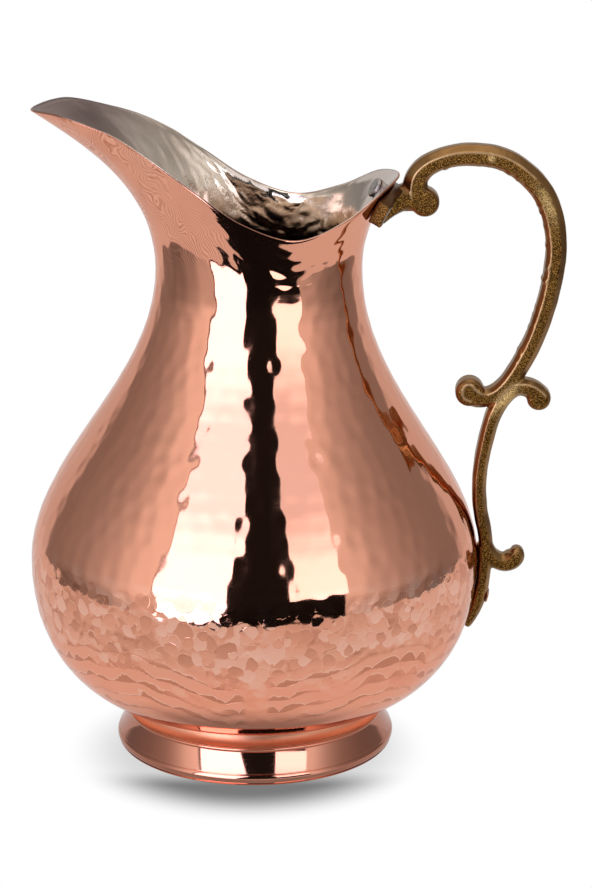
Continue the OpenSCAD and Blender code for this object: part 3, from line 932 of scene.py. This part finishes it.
# %% [markdown]
# The sheet is 1.2 mm thick. Towards the rim it was thinned from inside to about half a millimetre,
# so that only a fine line of copper shows round the mouth. Solidify would give one thickness, so
# the inside is laid as rings of its own, and a half-round edge joins it to the outside.

# %% Bottom, edge and inside of the wall
SHEET, THINNED = 1.2, 0.64


def wall(s):
    return SHEET - THINNED * float(soft_step((s - 2.86) / 0.14))


bottom = [ring_at(body_angle, s, 0) for s in (-1, -0.75, -0.5, -0.3, -0.12)]
top = ring_at(body_angle, 3, 0)
out = outward(body_angle, np.full(BODY_COLUMNS, 3.0))
up = top - ring_at(body_angle, 2.985, 0)
up = up / np.linalg.norm(up, axis=1, keepdims=True)
half, rise = (SHEET - THINNED) / 2, 0.25
edge = [
    top + out * half * (math.cos(math.radians(t)) - 1) + up * rise * math.sin(math.radians(t))
    for t in (30, 65, 90, 115, 150)
]
rim_to_neck = (3, 2.97, 2.94, 2.91, 2.88, 2.7, 2.5, 2.25, 2)
inside = [ring_at(body_angle, s, -wall(s)) for s in (*rim_to_neck, *np.linspace(1.85, 0.06, 11))]
inside += [ring_at(body_angle, s, -1.0) for s in (-0.1, -0.5, -1)]
all_rows = bottom + outside + edge + inside
print(len(all_rows), "rows in all")

# %% [markdown]
# All rows become one sheet, and the sheet becomes the body. Four numbers go with each point for the
# finish: the tone of its blow with painted light and shade from its slope, where it is on the steps,
# how clear the steps are, and whether it is on the rim's edge.

# %% Body piece
sheet, row, column = flat_sheet(len(all_rows), BODY_COLUMNS)
first = len(bottom)
layers = {name: sheet.verts.layers.float.new(name) for name in ("tone_and_painted_light", "terrace", "stepped", "edge")}
for v, r, c in zip(sheet.verts, row - first, column % BODY_COLUMNS):
    on_outside = 0 <= r < len(outside)
    for name in ("tone_and_painted_light", "terrace", "stepped"):
        v[layers[name]] = body_map[name][r, c] if on_outside else 0.5 * (name == "tone_and_painted_light")
    v[layers["edge"]] = float(len(outside) <= r <= len(outside) + len(edge))
carry(sheet, row, column, all_rows, BODY_COLUMNS)
body = finish_mesh(sheet, "hammered_body", copper)
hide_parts("body_shell")

# %% [markdown]
# ## Tin inside
# The tin follows the copper. From inside, the hammer marks stand out instead of in. They are
# clearest below the mouth, where the tinned neck is seen over the rim, and fade in the spout and
# on the lip, where the tin was wiped smooth.

# %% Tin marks
TIN_COLUMNS = 300
TIN_MARK, TIN_ROW, TIN_DEPTH = 4.6, 4.4, 0.17
tin_angle = np.arange(TIN_COLUMNS) * 360 / TIN_COLUMNS
tin_map = blank_map(lay_rows(lambda z: 3.2 if z < 140 else 1.1, 28), TIN_COLUMNS)
dice = np.random.default_rng(23)
blows = 0
at = float(np.interp(120, tin_map["z"], tin_map["length"]))
while at < tin_map["length"][-1]:
    z = np.interp(at, tin_map["length"], tin_map["z"])
    count = round(2 * math.pi * np.interp(at, tin_map["length"], tin_map["radius"]) / TIN_MARK)
    for k in dice.permutation(count):
        angle = (k + dice.uniform(-0.3, 0.3)) / count * 360
        turned = abs((angle + 180) % 360 - 180)
        spout = soft_step((turned - 132) / 30) * soft_step((z - 200) / 20)
        fade = (1 - 0.95 * spout) * (0.15 + 0.85 * soft_step((turned - 25) / 25))
        depth = TIN_DEPTH * dice.uniform(0.4, 1.4) * fade
        strike(
            tin_map, at + dice.uniform(-1.2, 1.2), angle, dice.uniform(2.8, 4.4), depth,
            dice.normal(0, 0.8, 2), 1.1,
        )
        blows += 1
    at += TIN_ROW
print(blows, "marks in the tin")

# %% [markdown]
# The coat is a thin closed shell: its outer side lies a hair inside the copper, so that the two
# never flicker through each other, and its inner side carries the marks.

# %% Tin piece
TIN, HAIR = 0.3, 0.02
tin_face = [
    ring_at(tin_angle, s, h[:, None] - wall(s) - TIN) for s, h in zip(tin_map["s"], tin_map["height"])
]
tin_rows = [ring_at(tin_angle, s, -SHEET - HAIR) for s in (-1, -0.5, -0.1)]
tin_rows += [
    ring_at(tin_angle, s, -wall(s) - HAIR) for s in (*np.linspace(0.06, 1.9, 16), *reversed(rim_to_neck))
]
tin_rows += list(reversed(tin_face)) + [ring_at(tin_angle, s, -SHEET - TIN) for s in (-0.1, -0.5, -1)]
sheet, row, column = flat_sheet(len(tin_rows), TIN_COLUMNS)
carry(sheet, row, column, tin_rows, TIN_COLUMNS)
lining = finish_mesh(sheet, "tinned_inside", tin)
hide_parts("tin_lining")

# %% [markdown]
# ## Spun foot
# A foot like this is spun from a disc over a wooden chuck. In Blender that is the same move: one
# outline, spun once round. The outline goes from the seat under the body over a hollow curve and
# a thin bead to a flared band, a crease, a rounded edge and the base, and back inside the sheet.

# %% Foot outline
def arc(cx, cz, rx, rz, start, end, count):
    turns = [math.radians(start + (end - start) * i / (count - 1)) for i in range(count)]
    return [(cx + rx * math.cos(t), cz + rz * math.sin(t)) for t in turns]


seat = [(34.0, 18.0), (43.6, 18.0)]
cove = arc(48.3, 17.5, 4.3, 4.6, 180, 258, 20)
bead = arc(47.45, 12.3, 0.5, 0.6, 95, -60, 9)
band = [(47.35 + 2.7 * t + 0.9 * t * t, 11.4 - 7.0 * t) for t in np.linspace(0, 1, 16)]
edge = [(50.7, 4.22), (50.74, 4.06)] + arc(49.4, 2.3, 2.2, 2.2, 50, -50, 11) + [(51.1, 0.45), (51.0, 0.15)]
base = [(50.8, 0.0), (47.1, 0.0), (47.0, 0.1), (47.0, 1.35), (47.1, 1.4), (49.0, 1.4), (49.1, 1.5)]
back = [(49.1, 4.2), (47.0, 7.4), (47.0, 10.8), (42.6, 11.2), (38.2, 14.2), (37.8, 16.6), (34.0, 16.6)]
foot_line = seat + cove + bead + band + edge + base + back
print("foot outline of", len(foot_line), "points")

# %% [markdown]
# One helper spins an outline once round the axis. The spin closes on itself with `use_merge`.
# Creases of more than 40 degrees stay sharp.

# %% Foot piece
def spin_outline(shape, outline, steps, closed):
    points = [shape.verts.new((r * MM, 0, z * MM)) for r, z in outline]
    pairs = [(points[i - 1], points[i]) for i in range(0 if closed else 1, len(points))]
    edges = [shape.edges.new(pair) for pair in pairs]
    bmesh.ops.spin(
        shape, geom=points + edges, cent=(0, 0, 0), axis=(0, 0, 1), angle=2 * math.pi,
        steps=steps, use_merge=True, use_duplicate=False,
    )


def keep_creases(shape):
    for e in shape.edges:
        if len(e.link_faces) == 2 and e.calc_face_angle(0) > math.radians(40):
            e.smooth = False


ring = bmesh.new()
spin_outline(ring, foot_line, 288, True)
keep_creases(ring)
foot = finish_mesh(ring, "spun_foot", spun)
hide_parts("foot_ring")

# %% [markdown]
# Solder ran into the corner between the body and the foot. It is a thin ring, spun in the same way,
# and a noise makes it a little lumpy.

# %% Solder seam
SEAM = [
    (42.6, 17.95), (43.8, 17.9), (44.1, 17.4), (44.5, 17.6), (44.9, 17.95), (45.3, 18.3), (43.6, 18.2),
]
ring = bmesh.new()
spin_outline(ring, SEAM, 160, True)
for v in ring.verts:
    flat = Vector((v.co.x, v.co.y, 0))
    v.co += flat.normalized() * noise.noise(flat * 160) * 0.12 * MM
keep_creases(ring)
seam = finish_mesh(ring, "foot_solder_seam", solder)
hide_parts("foot_solder")

# %% [markdown]
# ## Cast handle
# The handle is one sand casting: a loop with flat sides and bevelled edges, four curled ends, a
# pad on the lip and a tail on the belly. Its strands are drawn as bars of an eight-sided section
# along smooth curves. A voxel remesh then melts the bars into one skin, as molten brass does, and
# a little smoothing rounds the edges and fills the corners where strands meet.

# %% Bar along a curve
def curve_point(points, t):
    points = np.array(points, float)
    n = len(points) - 1
    x = np.clip(t, 0, 0.999999) * n
    i = np.floor(x).astype(int)
    around = [points[np.clip(i + k, 0, n)] for k in (-1, 0, 1, 2)]
    return through(*around, x - i)


def across_curve(points, t):
    before, centre, after = curve_point(points, np.array([t - 0.01, t, t + 0.01]))
    way = Vector((after[0] - before[0], 0, after[1] - before[1])).normalized()
    return centre, Vector((-way.z, 0, way.x))


HALF_SECTION = [(0.5, 0.22), (0.2, 0.5), (-0.3, 0.5), (-0.5, 0.26)]
SECTION = HALF_SECTION + [(d, -w) for d, w in reversed(HALF_SECTION)]


def bar(shape, points, steps):
    section = [shape.verts.new((d, w, 0)) for d, w in SECTION]
    cap = shape.faces.new(section)
    bmesh.ops.spin(
        shape, geom=[cap], cent=(0, 0, 0), axis=(0, 0, 1), dvec=(0, 0, 1), angle=0, steps=steps,
        use_duplicate=False,
    )
    whole = set(section)
    while True:
        grown = {o for v in whole for e in v.link_edges for o in e.verts} - whole
        if not grown:
            break
        whole |= grown
    for v in whole:
        centre, side = across_curve(points, v.co.z / steps)
        spot = Vector((centre[0], v.co.y * centre[3], centre[1])) + side * v.co.x * centre[2]
        v.co = spot * MM


print("bar section of", len(SECTION), "sides")

# %% [markdown]
# Each strand is a short list of places: how far out, how high, how deep and how wide the bar is
# there. They were measured on the photo and are joined by a smooth curve. The tail lies on the
# belly, so it takes its distance from the body's own curve.

# %% Strands of the handle
LOOP = [
    (63.9, 205.8, 4.5, 6.75), (61.9, 204.6, 8.2, 9), (58.4, 208.0, 9.6, 9), (58.9, 214.6, 8.0, 9),
    (64.9, 219.8, 7.4, 9), (77, 222.4, 7.8, 9), (91.7, 219.6, 7.8, 9), (104.1, 208, 8, 9),
    (108.9, 191.8, 7.6, 9), (107.7, 174.8, 7.25, 9), (102.9, 156.8, 7, 9), (95.7, 141.8, 6.9, 9),
    (89.5, 134.2, 6.6, 9), (83.4, 131.6, 6.6, 9), (79.6, 132.6, 7.4, 9), (77.2, 134.0, 6.6, 8.4),
    (75.6, 134.6, 4.5, 7.0),
]
STEM = [
    (105.5, 129, 3.6, 5.4), (104.7, 131.4, 7.8, 8.6), (101.3, 135, 7, 9), (95.9, 135.8, 6.25, 9),
    (91.1, 131.8, 6.1, 9), (87.5, 125, 5.8, 9), (85.1, 116, 5.5, 9), (83.3, 106, 5.2, 9),
    (82.8, 97, 5.1, 9), (83.5, 88, 5.3, 9), (85.1, 80, 5.3, 9), (85.9, 72, 4.8, 8.5), (85.7, 66, 3.9, 7.2),
]
CURL = [
    (85.9, 77, 3.1, 6.3), (87.5, 71, 5.85, 8.55), (91.9, 68.2, 6.4, 8.55), (95.7, 69.6, 7.2, 8.55),
    (96.7, 72.2, 6.25, 7.65), (96.1, 74, 2.3, 4.5),
]
ROOT = [(49.3, 205.4, 7.0, 10.8), (53.6, 206.6, 9.4, 9.9), (60.0, 207.4, 10.4, 9.0)]
FILLET = [(45.6, 199.0, 4.0, 12.6), (49.2, 202.4, 5.0, 11.5), (54.5, 206.2, 7.0, 9.8)]
KNOBS = [(61.6, 205.2, 5.2), (78.7, 134.3, 5.3), (103.9, 131.9, 4.4)]


def belly_radius(z):
    s, line, _ = meridian()
    return float(np.hypot(*skin([0.0], [np.interp(z, line[:, 1], s)])[0][:2]))


TAIL_GAP = 0.1
TAIL = [(belly_radius(z) + TAIL_GAP + t / 2, z, t, w) for z, t, w in (
    (75, 5.2, 8.55), (68, 5.2, 8.55), (61, 5.2, 8.5), (54, 5.0, 7.6), (48, 4.3, 6.4), (44.5, 3.6, 5.4),
    (43.2, 3.0, 4.4),
)]
print("tail ends at", [round(v, 1) for v in TAIL[-1]])

# %% [markdown]
# The pad lies on the outside of the lip. A flat grid is laid on the skin of the body between two
# angles, and `solidify` gives it its thickness. Both ends are cast thicker.

# %% Pad on the lip
PAD_HALF_ANGLE, PAD_THICK, PAD_END = 21, 3.5, 1.3


def lip_pad(shape):
    grid = bmesh.ops.create_grid(shape, x_segments=14, y_segments=8, size=1)["verts"]
    faces = list(dict.fromkeys(f for v in grid for f in v.link_faces))
    for v in grid:
        angle, s = np.array([v.co.x * PAD_HALF_ANGLE]), np.array([2.6 + 0.15 * (v.co.y + 1)])
        v.co = Vector(skin(angle, s)[0] + outward(angle, s)[0] * 0.25) * MM
    bmesh.ops.recalc_face_normals(shape, faces=faces)
    made = bmesh.ops.solidify(shape, geom=faces, thickness=-PAD_THICK * MM)["geom"]
    fresh = [g for g in made if isinstance(g, bmesh.types.BMVert)]
    outer = max(fresh, grid, key=lambda verts: sum(v.co.xy.length for v in verts) / len(verts))
    for v in outer:
        turn = math.atan2(v.co.y, v.co.x)
        thick = PAD_END * float(soft_step((abs(math.degrees(turn)) - 14.5) / 3.5)) * MM
        v.co += Vector((math.cos(turn), math.sin(turn), -0.5)) * thick


print("pad over", 2 * PAD_HALF_ANGLE, "degrees of the lip")

# %% [markdown]
# The knobs are round buttons with a wide bevel: a cylinder lying on its side whose two rims are
# bevelled. A small flat disc on the arch is the mark of the gate where the brass ran in.

# %% Knobs and gate mark
def button(shape, x, z, radius, low_y, high_y, bevel):
    middle = Vector((x, (low_y + high_y) / 2, z)) * MM
    lay = Matrix.Translation(middle) @ Matrix.Rotation(math.pi / 2, 4, "X")
    made = bmesh.ops.create_cone(
        shape, cap_ends=True, segments=40, radius1=radius * MM, radius2=radius * MM,
        depth=(high_y - low_y) * MM, matrix=lay,
    )["verts"]
    edges = dict.fromkeys(e for v in made for e in v.link_edges)
    rims = [e for e in edges if any(len(f.verts) > 4 for f in e.link_faces)]
    bmesh.ops.bevel(
        shape, geom=rims, offset=bevel * MM, segments=2, profile=0.5, affect="EDGES", material=-1,
    )


GATE_X, GATE_Z, GATE_RADIUS = 85.1, 221.6, 1.45
VOXEL = 0.38
casting = bmesh.new()
for points, steps in ((LOOP, 110), (STEM, 80), (CURL, 30), (ROOT, 12), (FILLET, 12), (TAIL, 30)):
    bar(casting, points, steps)
lip_pad(casting)
for x, z, radius in KNOBS:
    button(casting, x, z, radius, low_y=-4.5, high_y=4.5, bevel=1.9)
button(casting, GATE_X, GATE_Z, GATE_RADIUS, low_y=-4.85, high_y=-3.5, bevel=0.15)
bmesh.ops.recalc_face_normals(casting, faces=casting.faces)
rough = mesh_object(casting, "handle_bars")
melt = rough.modifiers.new("melt", "REMESH")
melt.mode = "VOXEL"
melt.voxel_size = VOXEL * MM
melted = bpy.data.meshes.new_from_object(rough.evaluated_get(bpy.context.evaluated_depsgraph_get()))
bpy.data.objects.remove(rough)
print("melted skin", len(melted.vertices), "points")

# %% [markdown]
# A thin raised line runs along the edge of each flat side: over the arch on its outer edge, down
# the loop on its inner edge and round the inner knob, and down the lower strand. It is raised in the
# mesh, and its pale colour is a painted highlight. The line's course is the corner of the bar's
# section, so it is found with the same curves, and a tree of its points says how near each point of
# the skin is to it.

# %% Raised lines on the sides
def corner_course(points, depth_part, start, end):
    course = []
    for t in np.linspace(start, end, 260):
        centre, side = across_curve(points, t)
        side = side * depth_part * centre[2]
        course.append((centre[0] + side.x, centre[3] / 2, centre[1] + side.z))
    return course


SPIRAL = [
    (85.6, 134.7), (83.2, 134.2), (80.9, 135.6), (79.0, 137.6),
    (77.0, 137.4), (75.9, 135.2), (76.6, 132.6), (79.0, 131.4),
]
course = corner_course(LOOP, 0.2, 2.0 / 16, 6.6 / 16) + corner_course(LOOP, -0.3, 7.2 / 16, 12.6 / 16)
course += corner_course(STEM, -0.3, 1.2 / 12, 9.5 / 12)
course += [(p[0], 4.5, p[1]) for p in curve_point(SPIRAL, np.linspace(0, 1, 120))]
nearest = kdtree.KDTree(2 * len(course))
for i, (x, y, z) in enumerate(course):
    nearest.insert(Vector((x, y, z)) * MM, 2 * i)
    nearest.insert(Vector((x, -y, z)) * MM, 2 * i + 1)
nearest.balance()
print(len(course), "points on the raised lines")

# %% [markdown]
# Sand leaves a grain on the flat sides, while the spine and the bevels were filed. So every point
# moves a little along its normal, more on the sides than elsewhere. Inside the loop no file came,
# and bits of flash stand out from it. Three numbers are kept on each point for the finish: how
# sandy it is, how close to a raised line with its painted highlight, and how far it was rubbed to
# gold, which is partly wear and partly a painted golden highlight.

# %% Handle piece
def patch(spot, x, z, way, length, width):
    dx, dz = spot.x / MM - x, spot.z / MM - z
    along, across = dx * way[0] + dz * way[1], dx * way[1] - dz * way[0]
    return math.exp(-((along / length) ** 2) - (across / width) ** 2)


LOOP_MIDDLE = Vector((79, 0, 178)) * MM
GRAIN, FILING, LINE_RISE, LINE_WIDTH, FLASH = 0.05, 0.14, 0.16, 0.33, 0.65
casting = bmesh.new()
casting.from_mesh(melted)
for _ in range(4):
    bmesh.ops.smooth_vert(
        casting, verts=casting.verts, factor=0.5, use_axis_x=True, use_axis_y=True, use_axis_z=True,
    )
casting.normal_update()
layers = {name: casting.verts.layers.float.new(name) for name in ("sandy", "line", "rubbed_and_painted_highlight")}
moves = []
for v in casting.verts:
    sandy = float(soft_step((abs(v.normal.y) - 0.80) / 0.15))
    line = math.exp(-((nearest.find(v.co)[2] / (LINE_WIDTH * MM)) ** 2))
    grain = (noise.noise(v.co * 1100) + noise.noise(v.co * 480 + Vector((7, 1, 3)))) * GRAIN
    filing = noise.noise(v.co * 190 + Vector((2, 9, 4))) * FILING
    v[layers["sandy"]] = sandy * (1 - line)
    v[layers["line"]] = line
    scroll = patch(v.co, 91.2, 132.4, (0.66, 0.75), 6.5, 2.0)
    shoulder = patch(v.co, 105.6, 205.0, (0.42, -0.91), 7.0, 2.2)
    from_gate = math.hypot(v.co.x / MM - GATE_X, v.co.z / MM - GATE_Z) / 1.3
    gate = math.exp(-(from_gate**4)) * (v.co.y < 0)
    v[layers["rubbed_and_painted_highlight"]] = scroll + sandy * (0.55 * shoulder + 0.6 * gate)
    inward = ((LOOP_MIDDLE - v.co) * Vector((1, 0, 1))).normalized().dot(v.normal)
    flash = float(soft_step((inward - 0.45) / 0.3) * soft_step((v.co.z / MM - 142) / 5)) * (v.co.x > 0.068)
    flash *= FLASH * max(noise.noise(Vector((v.co.x, 0, v.co.z)) * 400 + Vector((5, 2, 8))), 0)
    rise = grain * sandy * (1 - line) + filing * (1 - sandy) + LINE_RISE * line + flash
    moves.append(v.normal * rise * MM)
for v, move in zip(casting.verts, moves):
    v.co += move
handle = finish_mesh(casting, "cast_handle", brass)
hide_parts("handle")

# %% [markdown]
# ## Rivets
# Each rivet is a turned pin: a domed head inside the jug, a shank through the wall and a small
# hammered end outside. Its outline is spun upright and then stood on the wall, with its axis
# along the wall's outward direction.

# %% Pin that stands on the wall
def stand(angle, half_angle, s0, s1, up):
    a = [angle - half_angle, angle + half_angle]
    low, high = skin(a, [s0, s0]), skin(a, [s1, s1])
    spot = low.mean(0) * (1 - up) + high.mean(0) * up
    normal = np.cross(high[0] - low[1], low[0] - high[1])
    if normal @ np.array([math.cos(math.radians(angle)), math.sin(math.radians(angle)), 0]) < 0:
        normal = -normal
    turn = Vector((0, 0, 1)).rotation_difference(Vector(normal)).to_matrix().to_4x4()
    return Matrix.Translation(Vector(spot) * MM) @ turn


def rivet(shape, grip, stood, seed):
    seat = 1.82
    head = ((0, 1.2), (1.2, 1.18), (2.2, 1.13), (3.0, 1.02), (3.4, 0.85), (3.65, 0.5), (3.7, 0))
    end = ((2.75, 0), (2.9, 0.15), (2.5, 0.6), (1.6, 0.76), (0, 0.8))
    outline = [(r, -seat - h) for r, h in head]
    outline += [(3.6, -seat + 0.1), (2, -seat + 0.12), (2, grip)]
    outline += [(r, grip + h) for r, h in end]
    spin_outline(shape, outline, 40, False)
    own = [v for v in shape.verts if not v.tag]
    for v in own:
        v.tag = True
        dent = noise.noise(v.co * 700 + Vector((seed, 0, 0))) * 0.1 * MM
        if abs(v.co.z + seat * MM) > 0.3 * MM and v.co.xy.length < 3.9 * MM:
            v.co.z += dent
    bmesh.ops.transform(shape, matrix=stood, verts=own)


print("rivet pattern ready")

# %% [markdown]
# Two rivets hold the pad, one on each side of the handle's root. The third holds the tail.

# %% Rivets
TAIL_GRIP = 5.3
pins = bmesh.new()
for angle, seed in ((12, 1.3), (-12, 5.1)):
    rivet(pins, PAD_THICK, stand(angle, half_angle=3, s0=2.7, s1=2.8, up=0.5), seed)
lip_pins = finish_mesh(pins, "lip_rivet_pair", rivet_grey)
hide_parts("lip_rivets")

pins = bmesh.new()
rivet(pins, TAIL_GRIP, stand(0, half_angle=3, s0=10 / 12, s1=11 / 12, up=0.25), 8.7)
tail_pin = finish_mesh(pins, "tail_rivet_stud", rivet_red)
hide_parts("tail_rivet")

# %% [markdown]
# ## Sizes
# The finer pieces must not outgrow the solids. The last lines compare a corner of the small pieces
# with the same corner of their solids.

# %% Finish
bpy.context.view_layer.update()
low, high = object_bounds()
for piece, node in ((lip_pins, "lip_rivets"), (tail_pin, "tail_rivet"), (handle, "handle")):
    differs = [round((a - b) / MM, 2) for a, b in zip(piece.bound_box[0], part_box(node)[0])]
    print(piece.name, "differs by", differs, "mm")
